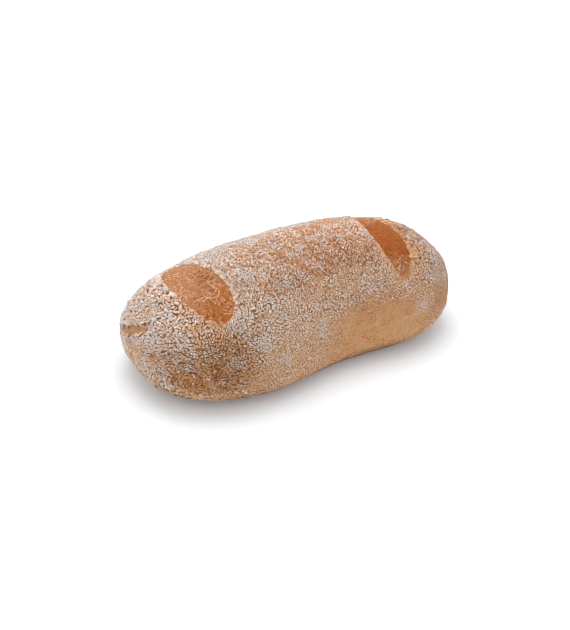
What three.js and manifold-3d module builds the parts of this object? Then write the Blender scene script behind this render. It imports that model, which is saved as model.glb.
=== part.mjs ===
// A rustic oblong bread loaf: one baked piece with a floured crust, a waisted front and two cuts across its top.
//
// Frame: millimetres, +Z up. +X runs along the loaf towards its taller end, and -Y is the waisted front.
// The origin lies under the middle of the loaf, on the surface that it rests on.
//
// The crust is a ball pressed into shape. Each direction from the ball's centre gives a station along the loaf
// and an angle round it, and superellipses turn those into a place on the crust. A plane then cuts the flat
// that the loaf stands on, and the two cuts are pressed in from above.

import * as THREE from "three";
import { mergeVertices } from "three/addons/utils/BufferGeometryUtils.js";
import Module from "manifold-3d";

const wasm = await Module();
wasm.setup();

// Driving dimensions, in millimetres.
const LENGTH = 270;
const WIDTH = 151; // at full girth, before the waist is taken in
const HEIGHT = 86; // of the crown at mid length
const GIRTH_LEVEL = 35; // height at which the loaf is widest
const SUNK = 5; // how far the round underside would reach below the table, had it not baked flat

// How blunt the ends and the sides are: 2 is an ellipse, and more is squarer.
const BLUNTNESS = { plan: 2.56, crown: 2.42, underside: 3, flankAbove: 2.08, flankBelow: 3.3 };

// Differences between the two ends and the two sides, as shares of the size there.
const CROWN_RISE = 0.11; // the crown grows by this much towards +X and shrinks as much towards -X
const FRONT_TAPER = -0.09; // the front narrows by this much towards +X
const BACK_TAPER = 0.07; // and the back widens
const WAIST = { depth: 0.237, station: 0.237, reach: 0.42 };

// The cuts, seen from above: ovals that may reach further to one side of their spine than to the other.
// Tilt turns an oval's front end towards +X, and bluntness is its superellipse exponent.
const CUTS = [
  { x: -78, y: -4.5, halfLength: 44.5, left: 17.5, right: 17.5, tiltDegrees: 8, bluntness: 2.1 },
  { x: 77.5, y: 1, halfLength: 42, left: 6, right: 16.5, tiltDegrees: 0, bluntness: 3.2 },
];
const CUT_DEPTH = 2;

// Net of squares over the ball, in squares along X, Y and Z.
const NET = { x: 44, y: 24, z: 15 };

const CRUST = new THREE.MeshStandardMaterial({
  color: 0xcfa680,
  roughness: 0.92,
  metalness: 0,
});

/** The point where the ray (across, up) meets a superellipse of half size 1. */
function onSuperellipse(across, up, exponent) {
  const size = (Math.abs(across) ** exponent + Math.abs(up) ** exponent) ** (1 / exponent);
  return size > 0 ? [across / size, up / size] : [0, 0];
}

/** Half size left at a station from -1 to 1, for a superellipse with its ends at the stations -1 and 1. */
function leftAt(station, exponent) {
  return Math.max(0, 1 - Math.abs(station) ** exponent) ** (1 / exponent);
}

/** The width on one side of the spine: side is -1 at the front, which is waisted, and 1 at the back. */
function halfWidthAt(station, planShare, side) {
  const offWaist = (station - WAIST.station) / WAIST.reach;
  const front = 1 + FRONT_TAPER * station - WAIST.depth * Math.exp(-offWaist * offWaist);
  const back = 1 + BACK_TAPER * station;
  return (WIDTH / 2) * planShare * (side < 0 ? front : back);
}

/** Moves a point of the unit ball to its place on the crust, before the cuts. */
function crustPoint(direction) {
  const around = Math.hypot(direction.y, direction.z);
  const [station, planShare] = onSuperellipse(direction.x, around, BLUNTNESS.plan);
  const flank = direction.z >= 0 ? BLUNTNESS.flankAbove : BLUNTNESS.flankBelow;
  const [across, up] = onSuperellipse(direction.y, direction.z, flank);
  const above = (HEIGHT - GIRTH_LEVEL) * leftAt(station, BLUNTNESS.crown) * (1 + CROWN_RISE * station);
  const below = (GIRTH_LEVEL + SUNK) * leftAt(station, BLUNTNESS.underside);
  return new THREE.Vector3(
    (LENGTH / 2) * station,
    halfWidthAt(station, planShare, across) * across,
    GIRTH_LEVEL + up * (up >= 0 ? above : below),
  );
}

/** How deep a cut is at a place seen from above: a shallow dish inside its oval, and nothing outside. */
function cutDepthAt(cut, x, y) {
  const tilt = THREE.MathUtils.degToRad(cut.tiltDegrees);
  const along = (y - cut.y) * Math.cos(tilt) - (x - cut.x) * Math.sin(tilt);
  const across = (x - cut.x) * Math.cos(tilt) + (y - cut.y) * Math.sin(tilt);
  const lengthShare = Math.abs(along) / cut.halfLength;
  const widthShare = Math.abs(across) / (across < 0 ? cut.left : cut.right);
  const outward = lengthShare ** cut.bluntness + widthShare ** cut.bluntness;
  return CUT_DEPTH * Math.max(0, 1 - outward);
}

/** A closed solid with its shared vertices merged, from a three.js geometry. */
function toSolid(geometry) {
  const bare = geometry.clone();
  bare.deleteAttribute("normal");
  bare.deleteAttribute("uv");
  const merged = mergeVertices(bare, 1e-3);
  const mesh = new wasm.Mesh({
    numProp: 3,
    vertProperties: new Float32Array(merged.attributes.position.array),
    triVerts: new Uint32Array(merged.index.array),
  });
  return new wasm.Manifold(mesh);
}

/** A three.js geometry from a solid. */
function toGeometry(solid) {
  const mesh = solid.getMesh();
  const geometry = new THREE.BufferGeometry();
  geometry.setAttribute("position", new THREE.BufferAttribute(mesh.vertProperties, 3));
  geometry.setIndex(new THREE.BufferAttribute(mesh.triVerts, 1));
  geometry.computeVertexNormals();
  return geometry;
}

/** A cube's net, swollen to the unit ball so that its squares stay about even, then moved onto the crust. */
function crustGeometry() {
  const geometry = new THREE.BoxGeometry(2, 2, 2, NET.x, NET.y, NET.z);
  const place = geometry.attributes.position;
  const evened = (value) => Math.tan((value * Math.PI) / 4);
  for (let i = 0; i < place.count; i++) {
    const direction = new THREE.Vector3(
      evened(place.getX(i)),
      evened(place.getY(i)),
      evened(place.getZ(i)),
    ).normalize();
    const point = crustPoint(direction);
    if (direction.z > 0) {
      for (const cut of CUTS) point.z -= cutDepthAt(cut, point.x, point.y);
    }
    place.setXYZ(i, point.x, point.y, point.z);
  }
  return geometry;
}

/** The loaf with its underside cut flat at table height, and centred over the origin. */
function loafGeometry() {
  const belowTable = new THREE.BoxGeometry(2 * LENGTH, 2 * WIDTH, HEIGHT);
  belowTable.translate(0, 0, -HEIGHT / 2);
  const geometry = toGeometry(toSolid(crustGeometry()).subtract(toSolid(belowTable)));
  geometry.computeBoundingBox();
  const middle = geometry.boundingBox.getCenter(new THREE.Vector3());
  return geometry.translate(-middle.x, -middle.y, 0);
}

const loaf = new THREE.Mesh(loafGeometry(), CRUST);
loaf.name = "loaf";

const breadLoaf = new THREE.Group();
breadLoaf.add(loaf);

export default breadLoaf;
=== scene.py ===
# A rustic oblong loaf of bread: a baked crust with two cuts across its top, under a coat of flour that
# cracked into thousands of small plates as the dough grew. Lengths are in millimetres unless a note says
# otherwise, and makeMesh turns them into metres.
import math
import bpy
import numpy as np
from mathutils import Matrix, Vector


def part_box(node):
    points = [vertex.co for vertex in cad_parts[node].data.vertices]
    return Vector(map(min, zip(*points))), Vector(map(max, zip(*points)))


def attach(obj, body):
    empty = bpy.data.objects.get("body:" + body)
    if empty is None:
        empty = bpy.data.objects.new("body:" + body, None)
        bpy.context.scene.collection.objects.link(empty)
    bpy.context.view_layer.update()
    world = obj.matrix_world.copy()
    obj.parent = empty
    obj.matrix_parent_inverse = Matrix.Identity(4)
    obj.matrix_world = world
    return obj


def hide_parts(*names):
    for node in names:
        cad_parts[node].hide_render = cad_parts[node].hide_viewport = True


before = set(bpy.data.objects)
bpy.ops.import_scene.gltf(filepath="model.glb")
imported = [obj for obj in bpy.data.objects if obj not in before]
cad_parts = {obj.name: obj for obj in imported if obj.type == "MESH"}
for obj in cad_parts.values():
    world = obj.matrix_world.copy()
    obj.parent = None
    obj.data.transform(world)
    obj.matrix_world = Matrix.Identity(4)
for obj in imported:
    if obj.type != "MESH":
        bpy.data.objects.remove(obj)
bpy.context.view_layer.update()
mm = 0.001
loafLow, loafHigh = (np.array(corner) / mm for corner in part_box("loaf"))


# Rises from 0 at start to 1 at end, with level ends: 3t^2 - 2t^3.
def ease(value, start, end):
    t = np.clip((value - start) / (end - start), 0, 1)
    return t * t * (3 - 2 * t)


# From first at a share of 0 to second at 1, in a straight line.
def blend(first, second, share):
    return first + (second - first) * share


# A vector over its own length.
def unit(vector):
    return vector / np.maximum(np.linalg.norm(vector, axis=-1, keepdims=True), 1e-12)


# The scalar product: the sum of x times x, y times y and z times z.
def dot(first, second):
    return (first * second).sum(-1)


slopeCount = 4096  # a power of two, so that the low bits of a jumbled number pick a slope
slopeTable = unit(np.random.default_rng(5).normal(size=(slopeCount, 3)))
jumblePrimes = np.array([73856093, 19349663, 83492791])
seedPrime = 7919
jumbleFactor = 1274126177
noiseShift = 500.5  # keeps the lattice's corners off the loaf's middle
noiseGain = 1.6  # brings the noise to about -1 to 1


# Mixes the bits of whole numbers so that close ones come out unlike each other: shift, multiply, shift.
def jumbled(number):
    number = (number ^ (number >> 13)) * jumbleFactor
    return number ^ (number >> 16)


# Gradient noise: each corner of a lattice of cubes draws a random slope from the table by a jumble of its
# coordinates, and a place between the corners gets the blend of what their slopes give there, by the
# shares 6t^5 - 15t^4 + 10t^3. size is the lattice's pitch.
def noise(place, size, seed):
    at = place / size + noiseShift
    low = np.floor(at)
    part = at - low
    share = part * part * part * (part * (part * 6 - 15) + 10)
    key = (low.astype(np.int64) * jumblePrimes).sum(-1) + seed * seedPrime
    total = np.zeros(place.shape[:-1])
    for corner in np.ndindex(2, 2, 2):
        slope = slopeTable[jumbled(key + int(jumblePrimes @ corner)) & (slopeCount - 1)]
        weight = np.where(corner, share, 1 - share).prod(-1)
        total += weight * dot(slope, part - corner)
    return total * noiseGain


# Two sizes of noise together, the second half as wide and half as strong.
def roughNoise(place, size, seed):
    return (noise(place, size, seed) + 0.5 * noise(place, size / 2.1, seed + 5)) / 1.3


# The form is a ball pressed into shape. Each blunt number is a superellipse's exponent: 2 is an ellipse, more
# is squarer. Rise and tapers are shares of the size at the +X end.
loafForm = dict(
    halfLength=135, halfWidth=75.5, crown=86, girthLevel=35, sunk=5,
    planBlunt=2.56, crownBlunt=2.42, underBlunt=3.0, aboveBlunt=2.08, belowBlunt=3.3,
    crownRise=0.11, frontTaper=-0.09, backTaper=0.07,
    waistDepth=0.237, waistStation=0.237, waistReach=0.42,
    baseRound=2.5,
)


# Where the ray (across, up) meets a superellipse of half size 1.
def onSuperellipse(across, up, blunt):
    size = np.maximum((np.abs(across) ** blunt + np.abs(up) ** blunt) ** (1 / blunt), 1e-9)
    return across / size, up / size


# Half size left at a station from -1 to 1, for a superellipse whose ends are there.
def leftAt(station, blunt):
    return np.maximum(0, 1 - np.abs(station) ** blunt) ** (1 / blunt)


# Each direction from the ball's centre gives a station along the loaf and an angle round it. Superellipses
# turn those into a place, the waist narrows the front by a bell curve, and what would be under the table is
# pressed flat, with an edge rounded over baseRound.
def formPlace(direction):
    f = loafForm
    around = np.hypot(direction[..., 1], direction[..., 2])
    station, planShare = onSuperellipse(direction[..., 0], around, f["planBlunt"])
    flank = np.where(direction[..., 2] >= 0, f["aboveBlunt"], f["belowBlunt"])
    across, up = onSuperellipse(direction[..., 1], direction[..., 2], flank)
    waist = f["waistDepth"] * np.exp(-(((station - f["waistStation"]) / f["waistReach"]) ** 2))
    side = np.where(across < 0, 1 + f["frontTaper"] * station - waist, 1 + f["backTaper"] * station)
    above = (f["crown"] - f["girthLevel"]) * leftAt(station, f["crownBlunt"]) * (1 + f["crownRise"] * station)
    below = (f["girthLevel"] + f["sunk"]) * leftAt(station, f["underBlunt"])
    height = f["girthLevel"] + up * np.where(up >= 0, above, below)
    softened = np.maximum(f["baseRound"] - np.abs(height), 0) ** 2 / (4 * f["baseRound"])
    return np.stack([
        f["halfLength"] * station,
        f["halfWidth"] * planShare * side * across,
        np.maximum(height, 0) + softened,
    ], -1)


# A net of squares over the ball, from the six sheets of a cube: the way each faces, its two edges, its
# place on the map of the six and its scale there.
netSheets = [
    dict(faces=(0, 0, 1), across=0, along=1, mapAt=(0, 0), scale=1),
    dict(faces=(0, -1, 0), across=0, along=2, mapAt=(0, 116), scale=1),
    dict(faces=(0, 1, 0), across=2, along=0, mapAt=(0, 190), scale=1),
    dict(faces=(1, 0, 0), across=1, along=2, mapAt=(215, 0), scale=1),
    dict(faces=(-1, 0, 0), across=2, along=1, mapAt=(215, 74), scale=1),
    dict(faces=(0, 0, -1), across=1, along=0, mapAt=(215, 190), scale=0.6),
]
netSteps = np.array([212, 113, 71])  # squares along X, Y and Z
netLift = 0.22  # draws the net up the ball, so that the underside gets fewer squares
weldFineness = 1e5  # corners whose directions agree to a part in this become one
weldKeys = np.array([1, 400009, 160007200081])
mapMargin = 2


# A place (a, b) from -1 to 1 on a sheet, swollen to the unit ball: the tangents of 45 degrees times a and b
# keep the squares about even. Then it is drawn up by netLift.
def swollen(sheet, a, b):
    edges = np.eye(3)
    direction = np.array(sheet["faces"], float)
    direction = direction + np.tan(np.pi / 4 * a)[..., None] * edges[sheet["across"]]
    direction = direction + np.tan(np.pi / 4 * b)[..., None] * edges[sheet["along"]]
    return unit(unit(direction) + np.array([0, 0, netLift]))


# The six sheets as one closed net: its directions, its quads and the quads' corners on the map.
def ballNet():
    directions, quads, charts, start = [], [], [], 0
    for sheet in netSheets:
        m, n = netSteps[sheet["across"]], netSteps[sheet["along"]]
        a, b = np.meshgrid(np.linspace(-1, 1, m + 1), np.linspace(-1, 1, n + 1), indexing="ij")
        directions.append(swollen(sheet, a, b).reshape(-1, 3))
        i, j = (grid.ravel() for grid in np.meshgrid(np.arange(m), np.arange(n), indexing="ij"))
        cornerI, cornerJ = np.stack([i, i + 1, i + 1, i], -1), np.stack([j, j, j + 1, j + 1], -1)
        quads.append(cornerI * (n + 1) + cornerJ + start)
        onMap = (cornerJ, cornerI) if sheet["along"] == 0 else (cornerI, cornerJ)
        charts.append(np.stack(onMap, -1) * sheet["scale"] + np.array(sheet["mapAt"]) + mapMargin)
        start += (m + 1) * (n + 1)
    direction = np.concatenate(directions)
    key = (np.round(direction * weldFineness).astype(np.int64) * weldKeys).sum(-1)
    _, first, which = np.unique(key, return_index=True, return_inverse=True)
    chart = np.concatenate(charts)
    return direction[first], which.reshape(-1)[np.concatenate(quads)], chart / (chart.max() + mapMargin)


# Directions strewn over the ball: one at random in each square of a net whose squares are pitch wide.
def strewn(pitch, random):
    steps = np.round((loafHigh - loafLow) / pitch).astype(int)
    directions = []
    for sheet in netSheets:
        m, n = steps[sheet["across"]], steps[sheet["along"]]
        i, j = (grid.ravel() for grid in np.meshgrid(np.arange(m), np.arange(n), indexing="ij"))
        shakeI, shakeJ = random.uniform(0.03, 0.97, (2, m * n))
        directions.append(swollen(sheet, 2 * (i + shakeI) / m - 1, 2 * (j + shakeJ) / n - 1))
    return np.concatenate(directions)


netDirections, netQuads, netChart = ballNet()
rawNet = formPlace(netDirections)
rawLow, rawHigh = rawNet.min(0), rawNet.max(0)


# The form stretched to the frame's box, which it already fits within a fraction of a millimetre.
def framedPlace(direction):
    return loafLow + (formPlace(direction) - rawLow) * (loafHigh - loafLow) / (rawHigh - rawLow)


# Two directions at right angles to each direction of the ball, and to each other, by cross products.
def ballTangents(direction):
    first = unit(np.cross(direction, np.array([0.0, 0.31, 0.95])))
    return first, np.cross(direction, first)


# Place, outward normal and the two slopes of the form there. A slope is how far the place moves for a small
# step on the ball, over that step, and the normal is at right angles to both.
def formAt(direction):
    step = 2e-3
    first, second = ballTangents(direction)
    place = framedPlace(direction)
    slopeA = (framedPlace(unit(direction + step * first)) - place) / step
    slopeB = (framedPlace(unit(direction + step * second)) - place) / step
    normal = unit(np.cross(slopeA, slopeB))
    outward = place - (loafLow + loafHigh) / 2
    normal *= np.where(dot(normal, outward) < 0, -1, 1)[..., None]
    return place, normal, slopeA, slopeB


# The angle round the loaf in degrees: 0 on the crown, 90 on the front, -90 on the back, 180 underneath.
def girthOf(direction):
    return np.degrees(np.arctan2(-direction[..., 1], direction[..., 2]))


# The cuts are ovals seen from above, which may reach further to one side of their spine. lean turns the
# front end towards +X, dome raises the floor's middle, and fade softens the front end's edge.
cuts = [
    dict(
        x=-78, y=-5.8, halfLength=44.5, left=18.0, right=17.5, lean=8, blunt=2.15,
        dome=-0.5, depth=0.7, fade=2,
    ),
    dict(
        x=79, y=-0.5, halfLength=45.5, left=8.3, right=17.5, lean=0, blunt=2.25,
        dome=0.4, depth=0.8, fade=12,
    ),
]
cutEdge = dict(wobble=0.55, wobbleSize=4.5, soft=1.2, lipHeight=0.9, lipReach=3.2)
farFromCut = 40  # distances to a cut's edge stop growing here
cutsAbove = 40  # there is no cut lower down than this


# Distance inside a cut's outline, negative outside: how far the oval's own measure is from 1, over how fast
# it grows there. Also the place's shares of the way across and to the front end.
def insideCut(cut, place):
    turn = math.radians(cut["lean"])
    x, y = place[..., 0] - cut["x"], place[..., 1] - cut["y"]
    along = y * math.cos(turn) - x * math.sin(turn)
    across = x * math.cos(turn) + y * math.sin(turn)
    half = np.where(across < 0, cut["left"], cut["right"])
    power = cut["blunt"]
    alongShare, acrossShare = np.abs(along / cut["halfLength"]), np.abs(across / half)
    outward = np.maximum((alongShare**power + acrossShare**power) ** (1 / power), 0.02)
    growth = np.hypot(
        (alongShare / outward) ** (power - 1) / cut["halfLength"],
        (acrossShare / outward) ** (power - 1) / half,
    )
    inside = np.clip((1 - outward) / growth, -farFromCut, farFromCut)
    inside = inside + cutEdge["wobble"] * noise(place, cutEdge["wobbleSize"], 41)
    inside = np.where(place[..., 2] > cutsAbove, inside, -farFromCut)
    return inside, across / half, -along / cut["halfLength"]


# A soft patch of the crust: where its middle is, as x in millimetres and girth in degrees, how far it reaches
# in each, and its values.
def patch(x, girth, reachX, reachGirth, **values):
    return dict(x=x, girth=girth, reachX=reachX, reachGirth=reachGirth, **values)


# What the flour is like, each patch painted over the ones before it. flour is how much of the crust looks
# white, pitch and tall are the plates' spacing and height, and drawn and lean say how long they are drawn
# out and which way, 0 along the loaf.
everywhere = 999  # a reach that takes in the whole loaf
flourZones = dict(
    all=patch(0, 0, everywhere, everywhere, flour=0.6, pitch=2.2, tall=0.6, drawn=1.0, lean=0),
    back=patch(0, -62, 200, 46, flour=0.66, pitch=2.2, tall=0.7, drawn=1.15, lean=10),
    backLow=patch(0, -122, 200, 42, flour=0.54, pitch=1.9, tall=0.5, drawn=1.3, lean=20),
    backRight=patch(70, -30, 52, 15, flour=0.46, pitch=2.1, tall=0.9, drawn=1.15, lean=30),
    leftTop=patch(-52, -2, 58, 50, flour=0.63, pitch=2.05, tall=1.25, drawn=1.1, lean=60),
    rubbedTop=patch(22, 10, 50, 27, flour=0.58, pitch=1.95, tall=1.1, drawn=1.15, lean=70),
    powdered=patch(22, 58, 66, 26, flour=0.56, pitch=1.65, tall=0.6, drawn=1.3, lean=80),
    rightEnd=patch(118, 0, 30, 66, flour=0.4, pitch=1.9, tall=1.05, drawn=1.1, lean=20),
    rightCrown=patch(126, -8, 22, 32, flour=0.36, pitch=1.9, tall=0.9, drawn=1.1, lean=20),
    waist=patch(-15, 98, 47, 30, flour=0.5, pitch=1.65, tall=0.4, drawn=1.7, lean=85),
    golden=patch(56, 106, 36, 30, flour=0.12, pitch=1.65, tall=0.12, drawn=1.4, lean=85, soft=0.8),
    lowerRight=patch(120, 84, 22, 40, flour=0.47, pitch=1.8, tall=0.35, drawn=1.2, lean=40),
    rippled=patch(-86, 66, 30, 26, flour=0.46, pitch=1.8, tall=1.0, drawn=1.4, lean=-8),
    brown=patch(-96, 96, 24, 22, flour=0.38, pitch=1.9, tall=0.75, drawn=1.4, lean=-20),
    leftEnd=patch(-123, -12, 25, 54, flour=0.45, pitch=1.85, tall=1.4, drawn=1.15, lean=0),
    leftLow=patch(-118, 42, 36, 30, flour=0.46, pitch=1.8, tall=1.0, drawn=1.1, lean=0),
)

# The crust under the flour: toast is how brown it is, 0 golden to 1, and amber is how orange the cracks are.
toastZones = dict(
    all=patch(0, 0, everywhere, everywhere, toast=0.42, amber=0.1),
    rubbedTop=patch(16, 6, 66, 34, toast=0.58, amber=1.0),
    powdered=patch(22, 60, 66, 23, toast=0.3, amber=0.4),
    golden=patch(50, 96, 62, 36, toast=0.2, amber=0.7),
    waist=patch(-15, 92, 40, 30, toast=0.2, amber=0.3),
    brown=patch(-94, 90, 26, 28, toast=0.74, amber=0.5),
    rightEnd=patch(124, 0, 26, 110, toast=0.8, amber=0.1),
    leftSide=patch(-118, 38, 46, 44, toast=0.56, amber=0.1),
)

# Loose powder lies in soft round spots, each given by its x, girth and radius. It also lies in stray
# patches, in a band down the back and over both ends.
frostSpots = [
    (-116, 30, 9), (-66, 48, 8), (-50, 66, 7), (-75, 80, 8), (-111, 80, 6),
    (-30, 53, 6), (-5, -11, 5), (-19, 32, 6), (108, 51, 9), (92, 82, 6),
    (-34, 86, 5), (-84, 98, 7), (0, 75, 5), (-42, 12, 6), (50, 54, 5),
]
frostPlaces = dict(
    spots=0.4, strays=0.3, back=0.65, backStart=(16, 42), backEnd=(60, 110),
    rightEnd=1.25, rightStart=(94, 118), leftEnd=1.15, leftStart=(80, 114), endsEven=0.42, endsPatchy=0.3,
)

# A bare slit and a fold on the loaf's -X end.
bareTip = dict(middle=(-131, -1, 48), halfLength=19, halfWidth=3.6, rise=0.5)
tipFold = dict(middle=(-133, -12, 24), halfLength=9, halfWidth=1.6, rise=-0.5, depth=1.6)
tipSoft = 0.35
patchEdge = dict(soft=0.42, blunt=2.6, wander=0.25, wanderSize=18)


# Noise that bends the patches' edges.
def patchWander(place):
    return patchEdge["wander"] * roughNoise(place, patchEdge["wanderSize"], 3)


# 1 in the middle of a patch and 0 beyond its reach. The patch is a superellipse in x and girth, and its
# edge is where the superellipse's measure plus the noise is 1.
def patchShare(zone, x, girth, wander):
    soft = zone.get("soft", patchEdge["soft"])
    blunt = patchEdge["blunt"]
    u, v = np.abs(x - zone["x"]) / zone["reachX"], np.abs(girth - zone["girth"]) / zone["reachGirth"]
    outward = (u**blunt + v**blunt) ** (1 / blunt) + wander
    return 1 - ease(outward, 1 - soft, 1 + soft)


# A value painted patch by patch: each one blends over what is there by its share.
def painted(zones, key, x, girth, wander):
    value = np.zeros_like(x)
    for zone in zones.values():
        share = 1.0 if zone["reachX"] == everywhere else patchShare(zone, x, girth, wander)
        value = blend(value, zone[key], share)
    return value


# 1 along a slanted oval on the loaf's -X end, measured across and up it, fading to 0 where the oval's
# measure passes 1.
def onTip(spot, place, wander):
    middle = np.array(spot["middle"])
    away = place - middle
    length = math.hypot(1, spot["rise"])
    along = (-away[..., 1] + away[..., 2] * spot["rise"]) / length
    across = (away[..., 2] + away[..., 1] * spot["rise"]) / length
    outward = np.hypot(along / spot["halfLength"], across / spot["halfWidth"]) + wander
    return (1 - ease(outward, 1 - tipSoft, 1 + tipSoft)) * ease(-place[..., 0], 112, 120)


# How thickly loose powder lies, from 0: the strongest of the spots, the strays, the band down the back and
# the two ends, each fading at its edges.
def frostAt(x, girth, flour, patchy, broad):
    f = frostPlaces
    frost = np.zeros_like(x)
    for spotX, spotGirth, radius in frostSpots:
        away = np.hypot(x - spotX, (girth - spotGirth) * 0.95) / radius
        frost = np.maximum(frost, 1 - ease(away + 1.1 * patchy, 0.2, 1.7))
    strays = ease(patchy + 0.5 * broad, 0.6, 1.1) * f["strays"]
    frost = np.maximum(f["spots"] * frost, strays) * ease(flour, 0.12, 0.4)
    backward = -girth + 16 * patchy + 22 * broad
    back = f["back"] * ease(backward, *f["backStart"]) * (1 - ease(backward, *f["backEnd"]))
    frost = np.maximum(frost, back)
    rightEnd = f["rightEnd"] * ease(x, *f["rightStart"]) * (1 - 0.7 * ease(girth, 55, 90))
    leftEnd = f["leftEnd"] * ease(-x, *f["leftStart"]) * (1 - ease(girth, 40, 78))
    return np.maximum(frost, (rightEnd + leftEnd) * (f["endsEven"] + f["endsPatchy"] * patchy))


# What varies over the crust: each value is what its patches paint, pushed up and down by a patchy and a broad
# noise, and thinned in the cuts, on the bare slit and towards the underside.
def crustFields(direction, place):
    x, girth = place[..., 0], girthOf(direction)
    wander = patchWander(place)
    patchy, broad = roughNoise(place, 9, 7), noise(place, 30, 9)
    keys = ("flour", "pitch", "tall", "drawn", "lean")
    fields = {key: painted(flourZones, key, x, girth, wander) for key in keys}
    frost = frostAt(x, girth, fields["flour"], patchy, broad)
    tip = onTip(bareTip, place, 0.6 * patchy + 0.7 * noise(place, 4.5, 13))
    inside, soft = np.full_like(x, -farFromCut), np.ones_like(x)
    for cut in cuts:
        insideThis, _, forward = insideCut(cut, place)
        soft = np.where(insideThis > inside, 1 + cut["fade"] * ease(forward, 0.66, 1.0), soft)
        inside = np.maximum(inside, insideThis)
    under = 1 - ease(place[..., 2], 4, 19)
    fading = ease(soft, 1, 6) * ease(inside, -2, 1)
    toast = painted(toastZones, "toast", x, girth, wander) + 0.28 * patchy + 0.22 * broad
    amber = painted(toastZones, "amber", x, girth, wander) * (0.75 + 0.6 * broad + 0.5 * patchy)
    patchiness = blend(0.16, 0.35, ease(fields["tall"], 0.5, 0.9))
    flour = fields["flour"] * (1 + patchiness * patchy + 0.15 * broad) + 0.05 * patchy
    flour = np.clip((flour + 0.2 * frost) * (1 - tip) * (1 - 0.7 * under) * (1 - 0.75 * fading), 0, 1)
    tall = fields["tall"] * (1 + 0.4 * patchy) * (1 - 0.45 * frost) * (1 - 0.6 * under)
    tall = tall * ease(-inside, -3, 4)
    folded = ease(-x, 35, 75) * ease(girth, 40, 62) * (1 - ease(-x, 118, 130))
    bent = ease(fields["tall"], 0.3, 0.8)
    lean = np.radians(fields["lean"] + (40 * broad + 75 * noise(place, 7, 19)) * bent)
    fields.update(
        x=x, girth=girth, inside=inside, soft=soft, tip=tip, under=under, frost=frost, flour=flour, tall=tall,
        folded=folded, toast=np.clip(toast, 0, 1), amber=np.clip(amber, 0, 1), lean=lean,
    )
    return fields


crustRelief = dict(
    lump=1.1, lumpSize=46, dent=0.5, dentSize=17, pebble=0.3, pebbleSize=3.4, tipStep=1.0,
    wrinkle=1.0, wrinkleLong=15, wrinkleShort=4.4, wrinkleLean=-14, wrinkleBend=1.6, wrinkleBendSize=20,
    cutGrain=0.6, cutGrainSize=3.2, cutLump=0.6, cutLumpSize=9,
    torn=3.6, tornSize=4.4, tornAt=(-70, -4), tornReach=(9, 22),
)
arcPerDegree = 1.1  # about how far a degree of girth goes over the crust


# Height of the crust above its form: lumps and dents from wide noise, wrinkles from noise stretched along a
# slant, a floor below the cuts' edges that domes in the middle, and a lip outside each cut's -X edge.
def reliefAt(place, fields):
    r = crustRelief
    height = r["lump"] * noise(place, r["lumpSize"], 21) + r["dent"] * roughNoise(place, r["dentSize"], 23)
    slant = math.radians(r["wrinkleLean"])
    arc = fields["girth"] * arcPerDegree
    long = (fields["x"] * math.cos(slant) + arc * math.sin(slant)) / r["wrinkleLong"]
    short = (arc * math.cos(slant) - fields["x"] * math.sin(slant)) / r["wrinkleShort"]
    bend = noise(place, r["wrinkleBendSize"], 29)
    slanted = np.stack([long, short + r["wrinkleBend"] * bend, bend], -1)
    ridge = 1 - 2.2 * np.abs(noise(slanted, 1.0, 31))
    height += r["wrinkle"] * ridge * fields["folded"]
    height -= r["tipStep"] * fields["tip"]
    height -= tipFold["depth"] * onTip(tipFold, place, 0)
    height += r["pebble"] * noise(place, r["pebbleSize"], 37) * ease(fields["tall"], 0.1, 0.6)
    for cut in cuts:
        inside, across, _ = insideCut(cut, place)
        floor = cut["dome"] * ease(inside, 0, 0.5 * (cut["left"] + cut["right"])) - cut["depth"]
        floor += r["cutGrain"] * roughNoise(place * np.array([1, 0.45, 1]), r["cutGrainSize"], 61)
        floor += r["cutLump"] * roughNoise(place * np.array([1, 0.4, 1]), r["cutLumpSize"], 67)
        torn = np.exp(-(((place[..., :2] - np.array(r["tornAt"])) / np.array(r["tornReach"])) ** 2).sum(-1))
        floor += r["torn"] * torn * np.maximum(roughNoise(place, r["tornSize"], 71), -0.2)
        inCut = ease(inside, -0.5 * cutEdge["soft"], 0.5 * cutEdge["soft"])
        height = blend(height, 0.6 * height + floor, inCut)
        lip = ease(inside, -cutEdge["lipReach"], -0.6) * (1 - inCut)
        height += cutEdge["lipHeight"] * lip * ease(-across, -0.3, 0.6)
    return height * ease(place[..., 2], 0.3, 7)


# The crust: the form's place moved out along its normal by the relief's height, and never under
# the table. Also the normal before relief, the form's slopes and the fields.
def crustAt(direction):
    place, normal, slopeA, slopeB = formAt(direction)
    fields = crustFields(direction, place)
    fields["height"] = reliefAt(place, fields)
    raised = place + normal * fields["height"][..., None]
    raised[..., 2] = np.maximum(raised[..., 2], 0)
    return raised, normal, slopeA, slopeB, fields


# Makes an object of its data and puts it in the scene.
def newObject(name, data):
    thing = bpy.data.objects.new(name, data)
    bpy.context.scene.collection.objects.link(thing)
    return thing


# Puts places (in millimetres), faces of one size, their map corners and named numbers into a mesh object.
def makeMesh(name, place, faces, chart, numbers, material, smooth=True):
    mesh = bpy.data.meshes.new(name)
    mesh.vertices.add(len(place))
    mesh.vertices.foreach_set("co", (place * mm).astype(np.float32).ravel())
    corners = faces.shape[1]
    mesh.loops.add(faces.size)
    mesh.loops.foreach_set("vertex_index", faces.astype(np.int32).ravel())
    mesh.polygons.add(len(faces))
    mesh.polygons.foreach_set("loop_start", np.arange(0, faces.size, corners, dtype=np.int32))
    mesh.update(calc_edges=True)
    mesh.polygons.foreach_set("use_smooth", np.full(len(faces), smooth))
    layer = mesh.uv_layers.new(name="OFBake")
    layer.uv.foreach_set("vector", chart.astype(np.float32).ravel())
    for key, values in numbers.items():
        attribute = mesh.attributes.new(key, "FLOAT", "POINT")
        attribute.data.foreach_set("value", values.astype(np.float32).ravel())
    mesh.validate()
    mesh.materials.append(material)
    return newObject(name, mesh)


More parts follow.
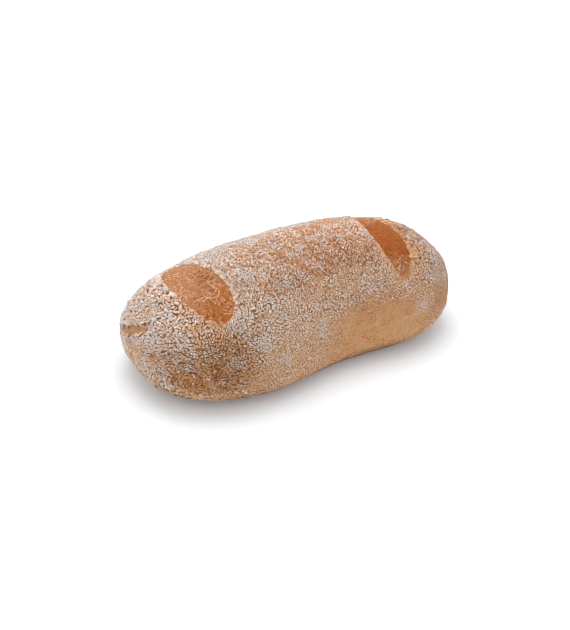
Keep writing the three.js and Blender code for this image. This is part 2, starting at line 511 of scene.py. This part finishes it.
# A material with its shader, and short ways to add, set and link nodes.
class Recipe:
    def __init__(self, name, roughness):
        self.material = bpy.data.materials.new(name)
        self.material.use_nodes = True
        self.tree = self.material.node_tree
        self.shader = self.tree.nodes["Principled BSDF"]
        self.shader.inputs["Roughness"].default_value = roughness
        self.shader.inputs["Specular IOR Level"].default_value = 0.2

    def node(self, kind):
        return self.tree.nodes.new("ShaderNode" + kind)

    # Links a socket to another node's output, or sets it to a plain value.
    def put(self, socket, value):
        if isinstance(value, bpy.types.NodeSocket):
            self.tree.links.new(value, socket)
        else:
            socket.default_value = value

    # One of the numbers that makeMesh wrote at each vertex.
    def number(self, name):
        node = self.node("Attribute")
        node.attribute_name = name
        return node.outputs["Fac"]

    # A sum, difference or product of two values.
    def math(self, kind, first, second):
        node = self.node("Math")
        node.operation = kind
        self.put(node.inputs[0], first)
        self.put(node.inputs[1], second)
        return node.outputs[0]

    def plus(self, first, second):
        return self.math("ADD", first, second)

    def minus(self, first, second):
        return self.math("SUBTRACT", first, second)

    def times(self, first, second):
        return self.math("MULTIPLY", first, second)

    # How far a value lies from one half, times gain.
    def swing(self, value, gain):
        return self.times(self.minus(value, 0.5), gain)

    # The loaf's coordinates in millimetres, squeezed or drawn out by scale.
    def millimetres(self, scale=(1, 1, 1)):
        place = self.node("TexCoord")
        mapping = self.node("Mapping")
        mapping.inputs["Scale"].default_value = [s / mm for s in scale]
        self.put(mapping.inputs["Vector"], place.outputs["Object"])
        return mapping.outputs[0]

    # Noise whose lumps are about size across, in millimetres.
    def noise(self, place, size, detail, rough=0.55):
        node = self.node("TexNoise")
        self.put(node.inputs["Vector"], place)
        node.inputs["Scale"].default_value = 1 / size
        node.inputs["Detail"].default_value = detail
        node.inputs["Roughness"].default_value = rough
        return node.outputs["Fac"]

    # Eases from toLow at low to toHigh at high.
    def stretch(self, value, low, high, toLow=0.0, toHigh=1.0):
        node = self.node("MapRange")
        node.interpolation_type = "SMOOTHSTEP"
        settings = {"Value": value, "From Min": low, "From Max": high, "To Min": toLow, "To Max": toHigh}
        for key, setting in settings.items():
            self.put(node.inputs[key], setting)
        return node.outputs[0]

    # The first colour at a share of 0 and the second at 1.
    def mix(self, share, first, second):
        node = self.node("Mix")
        node.data_type = "RGBA"
        self.put(node.inputs["Factor"], share)
        self.put(node.inputs[6], first)
        self.put(node.inputs[7], second)
        return node.outputs[2]

    # Tilts the shader's normal as a height of that many millimetres would.
    def bump(self, height, distance):
        node = self.node("Bump")
        node.inputs["Distance"].default_value = distance * mm
        node.inputs["Strength"].default_value = 1.0
        self.put(node.inputs["Height"], height)
        self.put(self.shader.inputs["Normal"], node.outputs[0])


# A screen colour, 0 to 255, as the shader's linear red, green and blue.
def tint(red, green, blue):
    screen = np.array([red, green, blue]) / 255
    linear = np.where(screen <= 0.04045, screen / 12.92, ((screen + 0.055) / 1.055) ** 2.4)
    return (*linear.tolist(), 1.0)


# gap and amberGapShade are painted shade for the crust between tall plates, amberGapShade where the cracks
# are orange.
crustColours = dict(
    golden=tint(208, 160, 112), toasted=tint(192, 118, 56), brown=tint(150, 92, 44),
    gap=tint(98, 56, 26), amberGapShade=tint(140, 82, 40), under=tint(118, 78, 46), bare=tint(170, 130, 90),
    powder=tint(214, 176, 140), frost=tint(196, 184, 180),
    cutPale=tint(170, 113, 73), cutWarm=tint(164, 91, 31), cutDeep=tint(160, 78, 2),
    cutPore=tint(104, 54, 22),
)
crustGrain = dict(fine=0.9, grain=2.8, broad=11, streaks=1.6, cloudy=6, pitted=1.9, bump=1.2)


# Baked crust: golden to brown by how it toasted, darkened with painted shade between tall plates, finely
# speckled with powder by how much flour lies there, frosted where loose powder settled, and grainy orange in
# the cuts. Each step mixes one more colour over the ones before it, by a number on the mesh that noise breaks
# up.
def crustMaterial():
    c, size = crustColours, crustGrain
    r = Recipe("bakedCrust", 0.7)
    place = r.millimetres()
    fine = r.noise(r.millimetres((1, 0.8, 0.6)), size["fine"], 3)
    grain, broad = r.noise(place, size["grain"], 3), r.noise(place, size["broad"], 3)
    mottle = r.plus(r.times(grain, 0.5), r.times(broad, 0.5))
    mottle = r.plus(mottle, r.swing(fine, 0.7))
    toast = r.plus(r.number("toast"), r.swing(mottle, 1.7))
    body = r.mix(r.stretch(toast, 0.15, 0.6), c["golden"], c["toasted"])
    body = r.mix(r.stretch(toast, 0.6, 1.15), body, c["brown"])
    floured = r.stretch(r.number("flour"), 0.15, 0.5)
    # painted shade between tall plates: the crust darkens there, more where the plates stand taller
    gap = r.times(floured, r.stretch(r.number("tall"), 0.2, 0.9, 0.4, 0.8))
    body = r.mix(gap, body, r.mix(r.number("amber"), c["gap"], c["amberGapShade"]))
    body = r.mix(r.times(r.number("under"), 0.8), body, c["under"])
    bare = r.times(r.number("tip"), r.stretch(mottle, 0.3, 0.7, 1.0, 0.6))
    body = r.mix(bare, body, c["bare"])

    # powder between the plates
    speckle = r.plus(r.times(fine, 0.6), r.times(grain, 0.4))
    cover = r.minus(r.times(r.number("flour"), 0.5), r.minus(0.62, speckle))
    between = r.stretch(r.number("tall"), 0.2, 0.9, 0.5, 0.15)
    dusted = r.mix(r.times(r.stretch(cover, -0.12, 0.28), between), body, c["powder"])
    loose = r.times(r.number("frost"), r.stretch(speckle, 0.4, 0.65, 0.1, 0.5))
    frosted = r.mix(r.times(loose, between), dusted, c["frost"])

    # the cuts: streaks along them, dark pores and flecks of powder
    streaks = r.noise(r.millimetres((1, 0.3, 0.4)), size["streaks"], 4, 0.65)
    cloudy = r.noise(r.millimetres((1, 0.5, 0.7)), size["cloudy"], 4, 0.7)
    cutGrain = r.plus(r.times(streaks, 0.5), r.times(cloudy, 0.5))
    ruddy = r.plus(r.number("ruddy"), r.swing(cutGrain, 3.6))
    cutColour = r.mix(r.stretch(ruddy, 0, 0.5), c["cutPale"], c["cutWarm"])
    cutColour = r.mix(r.stretch(ruddy, 0.5, 1.0), cutColour, c["cutDeep"])
    pitted = r.noise(place, size["pitted"], 4, 0.75)
    pores = r.mix(r.stretch(pitted, 0.48, 0.36, 0, 0.8), cutColour, c["cutPore"])
    fleck = r.times(r.stretch(pitted, 0.47, 0.58), r.stretch(cloudy, 0.44, 0.58))
    fleck = r.times(fleck, r.stretch(r.number("ruddy"), 0, 0.25, 0.7, 1.7))
    specks = r.mix(r.times(fleck, r.minus(0.9, r.number("ruddy"))), pores, c["powder"])
    inCut = r.stretch(r.number("inside"), -0.25, 0.25)
    r.put(r.shader.inputs["Base Color"], r.mix(inCut, frosted, specks))
    r.bump(r.plus(fine, r.plus(grain, streaks)), size["bump"])
    return r.material


# rindAndShade and amberRindAndShade are painted shade low on the plates' sides, in the cracks, over a little
# browned crust.
flourColours = dict(
    pale=tint(226, 184, 147), paleDark=tint(213, 164, 122), toasted=tint(184, 126, 76),
    amber=tint(215, 150, 95), thick=tint(242, 230, 220), thickDark=tint(219, 202, 187),
    frost=tint(192, 183, 180), rindAndShade=tint(66, 36, 20), amberRindAndShade=tint(88, 48, 24),
)
flourGrain = dict(fine=0.9, grain=1.6, bump=0.55)


# Caked flour: off-white on top, mottled where it lies thin, and near black low on its sides where it meets
# the
# crust: painted shade in the cracks, over a little browned crust. The white number on the mesh, broken up by
# fine noise, says how thick it looks.
def flourMaterial():
    c, size = flourColours, flourGrain
    r = Recipe("cakedFlour", 0.95)
    place = r.millimetres()
    fine, grain = r.noise(place, size["fine"], 3, 0.6), r.noise(place, size["grain"], 3)
    pale = r.mix(r.stretch(grain, 0.3, 0.7), c["pale"], c["paleDark"])
    thin = r.mix(r.stretch(r.number("toast"), 0.4, 1.0, 0, 0.9), pale, c["toasted"])
    thin = r.mix(r.times(r.number("amber"), 0.8), thin, c["amber"])
    thick = r.mix(r.stretch(grain, 0.3, 0.7), c["thick"], c["thickDark"])
    share = r.plus(r.number("white"), r.swing(fine, 0.65))
    top = r.mix(r.stretch(share, 0.1, 0.8), thin, thick)
    frosted = r.mix(r.times(r.number("frost"), 0.9), top, c["frost"])
    # painted shade low on the sides, in the cracks between plates, over a little browned crust
    sides = r.stretch(r.number("rim"), 0.3, 0.9, 0, 0.95)
    rindAndShade = r.mix(r.number("amber"), c["rindAndShade"], c["amberRindAndShade"])
    r.put(r.shader.inputs["Base Color"], r.mix(sides, frosted, rindAndShade))
    r.bump(fine, size["bump"])
    return r.material


# The crust over the ball's net, with the numbers that its colours read. inside is the distance to a cut's
# edge, over how soft that edge is. ruddy is how orange a cut's floor is: towards the front in the cut at
# -X, and in the middle of the other one.
def makeCrust(material):
    place, _, _, _, fields = crustAt(netDirections)
    numbers = {key: fields[key] for key in ("flour", "toast", "amber", "tall", "frost", "under", "tip")}
    numbers["inside"] = np.clip((fields["inside"] - 0.12 * (fields["soft"] - 1)) / fields["soft"], -4, 4)
    onRight, forward = ease(place[:, 0], -30, 30), -place[:, 1]
    leftRuddy = 0.55 * ease(forward + 0.5 * (place[:, 0] + 78), 12, 34)
    rightRuddy = 0.86 - 0.7 * ease(forward, 22, 42) - 0.5 * ease(-forward, 5, 35)
    numbers["ruddy"] = blend(leftRuddy, rightRuddy, onRight)
    crust = makeMesh("crust", place, netQuads, netChart, numbers, material)
    print("crust", len(place), "vertices", 2 * len(netQuads), "triangles")
    return crust


# The flour's plates are closed shells. gap is the crack between two of them, and merge is the share of
# neighbours that hang together with none, mergeAlong where they lie end to end. A plate's rim lies sink
# under the crust and its root lies deeper, topShare is how wide its upper edge is beside its rim, and tilt
# slopes its top.
plates = dict(
    sides=11, pitches=(1.65, 2.15, 2.8, 3.6), pitchSpread=0.28, gap=0.22, merge=0.2, mergeAlong=0.45,
    overlap=0.3, weightSpread=0.45, ragged=0.05, topShare=0.955, sink=0.25, root=0.9, tilt=0.46,
    smallest=0.34, tallSpread=0.22, near=14, nearReach=14, slabSize=200, seed=11, pieces=7,
)


# The nearest neighbours of each place. The places are taken a slab along X at a time, and each slab is
# measured against what lies within reach of it.
def neighbours(place, count, reach):
    order = np.argsort(place[:, 0], kind="stable")
    inOrder = place[order].astype(np.float32)
    found = np.empty((len(place), count), np.int64)
    slabSize = plates["slabSize"]
    for start in range(0, len(place), slabSize):
        slab = inOrder[start:start + slabSize]
        first = np.searchsorted(inOrder[:, 0], slab[0, 0] - reach)
        last = np.searchsorted(inOrder[:, 0], slab[-1, 0] + reach)
        span = inOrder[first:last]
        away = (slab**2).sum(-1)[:, None] + (span**2).sum(-1)[None] - 2 * slab @ span.T
        away[np.arange(len(slab)), np.arange(len(slab)) + start - first] = np.inf
        picked = np.argpartition(away, count, axis=1)[:, :count]
        found[order[start:start + len(slab)]] = order[first + picked]
    return found


# A number from 0 to 1 for each pair of plates, the same from either side.
def pairNumber(near):
    own = np.arange(len(near))[:, None]
    key = np.minimum(own, near) * jumblePrimes[0] + np.maximum(own, near) * jumblePrimes[1]
    return (jumbled(key) & 0xFFFF) / 0xFFFF


# Tangent directions at each place: first along the plates' long way, then across it. The first is the
# loaf's own long way, laid on the crust and turned by lean.
def plateAxes(normal, lean):
    along = unit(np.array([1.0, 0, 0]) - normal * normal[..., :1])
    forward = np.cross(along, normal)
    first = along * np.cos(lean)[..., None] + forward * np.sin(lean)[..., None]
    return first, np.cross(normal, first)


# Directions of all plate centres, drawn from a net of each pitch. One is kept where the pitch that the
# patches ask for, times a random factor, is nearest to that net's, as a ratio.
def plateCentres(random):
    pitches = np.array(plates["pitches"])
    kept = []
    for which, pitch in enumerate(pitches):
        direction = strewn(pitch, random)
        place = framedPlace(direction)
        wander = patchWander(place)
        wanted = painted(flourZones, "pitch", place[:, 0], girthOf(direction), wander)
        wanted *= np.exp(random.normal(0, plates["pitchSpread"], len(place)))
        nearest = np.abs(np.log(wanted[:, None] / pitches)).argmin(1)
        kept.append(direction[(nearest == which) & (place[:, 2] > 2.5)])
    return np.concatenate(kept)


leastFacing = 0.12  # a neighbour that lies further round than this cosine doesn't stop a plate


# How far each plate reaches in each direction before it meets a neighbour. Two plates share the distance
# between them by their weights, less the crack: (share x distance - crack / 2) / cos of the angle between,
# the least of all.
def plateReach(steps, angle, weight, near, crack):
    distance, bearing = np.linalg.norm(steps, axis=-1), np.arctan2(steps[..., 1], steps[..., 0])
    share = weight[:, None] / (weight[:, None] + weight[near])
    edge = share * distance - 0.5 * crack
    facing = np.cos(angle[:, :, None] - bearing[:, None, :])
    faced = edge[:, None, :] / np.maximum(facing, leastFacing)
    return np.where(facing > leastFacing, faced, np.inf).min(-1)


# The directions of the ball that lie under steps over the crust, by solving its two slopes for each step.
def stepOver(direction, slopeA, slopeB, step):
    first, second = ballTangents(direction)
    aa, ab, bb = dot(slopeA, slopeA), dot(slopeA, slopeB), dot(slopeB, slopeB)
    sa, sb = dot(step, slopeA[:, None]), dot(step, slopeB[:, None])
    scale = (aa * bb - ab * ab)[:, None]
    alpha = (sa * bb[:, None] - sb * ab[:, None]) / scale
    beta = (sb * aa[:, None] - sa * ab[:, None]) / scale
    return unit(direction[:, None] + alpha[..., None] * first[:, None] + beta[..., None] * second[:, None])


# The share of neighbours that hang together: more under loose powder, towards the loaf's -X end, and where
# drawn-out plates lie end to end.
def hangShare(steps, near, fields):
    frost = np.maximum(fields["frost"][:, None], fields["frost"][near])
    endways = np.abs(steps[..., 0]) / np.linalg.norm(steps, axis=-1)
    endToEnd = ease(endways, 0.7, 0.85) * ease(fields["drawn"], 1.2, 1.8)[:, None]
    hangs = plates["merge"] + 0.4 * frost + (plates["mergeAlong"] - plates["merge"]) * endToEnd
    return hangs + 0.12 * ease(-fields["x"], 75, 110)[:, None]


# The outline of each plate: the angles of its corners, evenly round but shaken, and how far out each one
# lies before it meets a neighbour. Plates that hang together overlap a little instead of leaving a crack.
def plateOutlines(place, axes, fields, random):
    sides, count = plates["sides"], len(place)
    near = neighbours(place, plates["near"], plates["nearReach"])
    step = place[near] - place[:, None]
    alongStep = dot(step, axes[0][:, None]) / fields["drawn"][:, None]
    steps = np.stack([alongStep, dot(step, axes[1][:, None])], -1)
    angle = 2 * np.pi * (np.arange(sides) + random.uniform(-0.3, 0.3, (count, sides))) / sides
    angle += random.uniform(0, 2 * np.pi, (count, 1))
    pair = pairNumber(near)
    crack = plates["gap"] * blend(0.7, 1.0, ease(fields["tall"], 0.1, 0.9))[:, None] * (0.5 + 1.3 * pair**2)
    crack = np.where(pair < hangShare(steps, near, fields), -plates["overlap"], crack)
    weight = np.exp(random.normal(0, plates["weightSpread"], count))
    reach = plateReach(steps, angle, weight, near, crack)
    cap = fields["pitch"] * (0.8 + 0.4 * fields["frost"])
    ragged = 1 - random.uniform(0, 2 * plates["ragged"], reach.shape)
    return angle, np.clip(reach, 0.12, cap[:, None]) * ragged


# Which plates are there, and how tall and how white each one is, and how much painted shade, over browned
# crust, lies low on its sides. A plate is there where a chance, part random and part clumped by noise, lies
# below what the flour's share asks for, outside the cuts and off the underside. It is whiter where the flour
# lies thick, on the wrinkles' ridges and under loose powder.
def plateLooks(place, reach, fields, random):
    count = len(place)
    clumps = 0.5 + 0.5 * roughNoise(place, 4.5, 51)
    chance = 0.55 * random.random(count) + 0.45 * clumps
    ragged = 0.1 * (fields["soft"] - 1) * random.normal(0, 1, count)
    shown = (chance < 2.4 * fields["flour"] ** 0.9) & (fields["inside"] < ragged) & (fields["under"] < 0.75)
    shown &= reach.mean(1) > plates["smallest"]
    tall = np.maximum(fields["tall"], 0.1) * np.exp(random.normal(0, plates["tallSpread"], count))
    white = 2 * fields["flour"] - 0.52 - 0.4 * fields["toast"]
    white = white + fields["folded"] * (0.3 * fields["height"] - 0.05)
    white -= 0.08 * (1 - ease(fields["tall"], 0.4, 0.9))
    white += 0.3 * (0.5 - clumps)
    uneven = blend(0.07, 0.17, ease(fields["tall"], 0.3, 0.9))
    white = np.clip(white + uneven * random.normal(0, 1, count) + 0.2 * fields["frost"], 0, 1)
    # how much painted shade, over browned crust, lies low on the plate's sides
    rindAndShadeShare = 1 - 0.45 * ease(fields["inside"], -6, -2)  # less beside a cut
    return shown, tall, white, rindAndShadeShare


# The corners of each plate's shell: its middle, the ring of its upper edge, the ring of its rim and its
# root. The rings' steps are taken over the form and lifted along the normal, by the crust's height there,
# which the slope at the plate's centre foretells, and then by the plate's own.
def plateCorners(centre, axes, angle, reach, tall, random):
    direction, place, normal, slopeA, slopeB, fields = centre
    count, sides = reach.shape
    smallStep = 0.5

    # how much the crust rises for each millimetre along an axis, as its height a small step away says
    def risen(axis):
        nudged = stepOver(direction, slopeA, slopeB, smallStep * axis[:, None])[:, 0]
        there = framedPlace(nudged)
        return (reliefAt(there, crustFields(nudged, there)) - fields["height"]) / smallStep
    riseA, riseB = np.clip(risen(axes[0]), -1, 1), np.clip(risen(axes[1]), -1, 1)

    # a ring of corners at a share of the plate's reach, lifted by what above says
    def ring(share, above):
        a, b = share * reach * np.cos(angle) * fields["drawn"][:, None], share * reach * np.sin(angle)
        step = a[..., None] * axes[0][:, None] + b[..., None] * axes[1][:, None]
        onForm = framedPlace(stepOver(direction, slopeA, slopeB, step))
        height = fields["height"][:, None] + riseA[:, None] * a + riseB[:, None] * b
        return onForm + normal[:, None] * (height + above(a, b))[..., None]
    tiltA, tiltB = random.normal(0, plates["tilt"], (2, count))
    topShare = plates["topShare"] + random.uniform(-0.07, 0.03, (count, sides))
    edge = tall[:, None] * random.uniform(0.75, 1.1, (count, sides))

    # the tilted top, kept above the crust and under half as much again as its edge
    def topHeight(a, b):
        return np.clip(edge + tiltA[:, None] * a + tiltB[:, None] * b, 0.06, 1.5 * edge)
    rim = ring(1.0, lambda a, b: -plates["sink"])
    top = ring(topShare, topHeight)
    middle = place + normal * (tall * random.uniform(0.85, 1.15, count))[:, None]
    root = place - normal * plates["root"]
    return np.concatenate([middle[:, None], top, rim, root[:, None]], 1)


# The faces of one plate's shell: a fan on top, two triangles for each stretch of the side, and a fan down
# to the root. Also their corners on the plate's own round map, where the top lies inside the sides, and how
# far each corner of the shell belongs to the rim: 0 on top, and 1 at the rim and the root.
def plateFaces(sides):
    k, after = np.arange(sides), (np.arange(sides) + 1) % sides
    topRing, rimRing, rootAt = 1 + k, 1 + sides + k, np.full(sides, 1 + 2 * sides)
    nextTop, nextRim = 1 + after, 1 + sides + after
    faces = np.concatenate([
        np.stack([np.zeros(sides, int), topRing, nextTop], -1), np.stack([topRing, rimRing, nextRim], -1),
        np.stack([topRing, nextRim, nextTop], -1), np.stack([rimRing, rootAt, nextRim], -1),
    ])
    turn = 2 * np.pi * k / sides
    ringMap = np.stack([np.cos(turn), np.sin(turn)], -1)
    faceMap = np.concatenate([[[0, 0]], 0.30 * ringMap, 0.42 * ringMap, [[0, 0]]])[faces]
    faceMap[-sides:, 1] = 0.47 * np.stack([np.cos(turn + np.pi / sides), np.sin(turn + np.pi / sides)], -1)
    return faces, faceMap, np.concatenate([np.zeros(1 + sides), np.ones(sides + 1)])


# All plates, sorted along the loaf and split over pieces of equal count. Each plate gets its own cell of its
# piece's map, and every corner carries its plate's numbers.
def makeFlour(material):
    random = np.random.default_rng(plates["seed"])
    direction = plateCentres(random)
    place, normal, slopeA, slopeB, fields = crustAt(direction)
    axes = plateAxes(normal, fields["lean"])
    angle, reach = plateOutlines(place, axes, fields, random)
    shown, tall, white, rindAndShadeShare = plateLooks(place, reach, fields, random)
    centre = (direction, place, normal, slopeA, slopeB, fields)
    corners = plateCorners(centre, axes, angle, reach, tall, random)
    faces, faceMap, rimNumber = plateFaces(plates["sides"])
    plateNumbers = dict(white=white, frost=fields["frost"], toast=fields["toast"], amber=fields["amber"])
    made = []
    own = np.flatnonzero(shown)
    own = own[np.argsort(place[own, 0], kind="stable")]
    for which, part in enumerate(np.array_split(own, plates["pieces"])):
        name = f"flour{which + 1}"
        total, size = len(part), corners.shape[1]
        allFaces = (faces[None] + size * np.arange(total)[:, None, None]).reshape(-1, 3)
        columns = math.ceil(math.sqrt(total))
        cell = np.stack([np.arange(total) % columns, np.arange(total) // columns], -1) + 0.5
        chart = (cell[:, None, None] + faceMap[None]) / columns
        numbers = {key: np.repeat(values[part], size) for key, values in plateNumbers.items()}
        numbers["rim"] = np.outer(rindAndShadeShare[part], rimNumber).ravel()
        made.append(makeMesh(name, corners[part].reshape(-1, 3), allFaces, chart, numbers, material, False))
        print(name, total, "plates", len(allFaces), "triangles")
    return made


crust = makeCrust(crustMaterial())
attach(crust, "root")
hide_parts("loaf")
pieces = [crust]
for flour in makeFlour(flourMaterial()):
    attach(flour, "root")
    pieces.append(flour)


# The floor, the lamps and the camera are in metres.
studio = dict(
    floorSize=8.0, floorTint=tint(245, 249, 252), floorGlow=0.09,
    skyTint=(0.95, 0.98, 1, 1), sky=0.84, filterWidth=0.8,
)
lamps = dict(
    overhead=dict(place=(0.1, 0.42, 1.75), size=1.4, watts=14),
    key=dict(place=(-0.48, 1.12, 1.04), size=0.3, watts=16.2),
)


# A square of pale floor, which glows a little so that it stays light beyond the lamps' reach.
def makeFloor():
    half = studio["floorSize"] / 2
    mesh = bpy.data.meshes.new("floor")
    corners = [(-half, -half, 0), (half, -half, 0), (half, half, 0), (-half, half, 0)]
    mesh.from_pydata(corners, [], [(0, 1, 2, 3)])
    floor = newObject("floor", mesh)
    r = Recipe("paleFloor", 0.9)
    r.shader.inputs["Base Color"].default_value = studio["floorTint"]
    r.shader.inputs["Emission Color"].default_value = (1, 1, 1, 1)
    r.shader.inputs["Emission Strength"].default_value = studio["floorGlow"]
    mesh.materials.append(r.material)


# A round lamp at a place, turned to face the loaf's middle.
def makeLight(name, place, size, watts):
    lamp = bpy.data.lights.new(name, "AREA")
    lamp.shape, lamp.size, lamp.energy = "DISK", size, watts
    light = newObject(name, lamp)
    light.location = place
    middle = Vector((0, 0, 0.04))
    light.rotation_euler = (middle - light.location).to_track_quat("-Z", "Y").to_euler()
    return light


# The camera looks at the loaf from its front left, above. spine and height say where the loaf's middle is,
# and aimRight and aimUp how far the middle of the view lies from it.
view = dict(
    azimuth=-24.93, elevation=32.82, distance=1.6138, lens=116.53, sensor=36,
    aimRight=-0.002, aimUp=-0.0076, spine=-0.0013, height=0.035,
)


# The camera stands back from its target by distance, in the direction that the sines and cosines of its
# azimuth and elevation give, and faces it.
def makeCamera():
    a, e = math.radians(view["azimuth"]), math.radians(view["elevation"])
    back = np.array([math.sin(a) * math.cos(e), -math.cos(a) * math.cos(e), math.sin(e)])
    right = np.array([math.cos(a), math.sin(a), 0])
    up = np.cross(back, right)
    target = np.array([0, view["spine"], view["height"]]) + right * view["aimRight"] + up * view["aimUp"]
    camera = newObject("camera", bpy.data.cameras.new("camera"))
    camera.data.lens, camera.data.sensor_width = view["lens"], view["sensor"]
    camera.location = target + back * view["distance"]
    camera.rotation_euler = (-Vector(back)).to_track_quat("-Z", "Y").to_euler()
    bpy.context.scene.camera = camera


makeFloor()
makeCamera()
for name, lamp in lamps.items():
    light = makeLight(name, **lamp)
    if name == "key":  # it lights the loaf alone, so the floor keeps one soft shadow
        lit = bpy.data.collections.new("litByKey")
        for piece in pieces:
            lit.objects.link(piece)
        light.light_linking.receiver_collection = lit
world = bpy.data.worlds.new("studio")
bpy.context.scene.world = world
world.use_nodes = True
sky = world.node_tree.nodes["Background"].inputs
sky["Color"].default_value, sky["Strength"].default_value = studio["skyTint"], studio["sky"]
bpy.context.scene.view_settings.view_transform = "Standard"
bpy.context.scene.cycles.filter_width = studio["filterWidth"]  # crisp, for small plates
print("studio", len(lamps), "lamps")
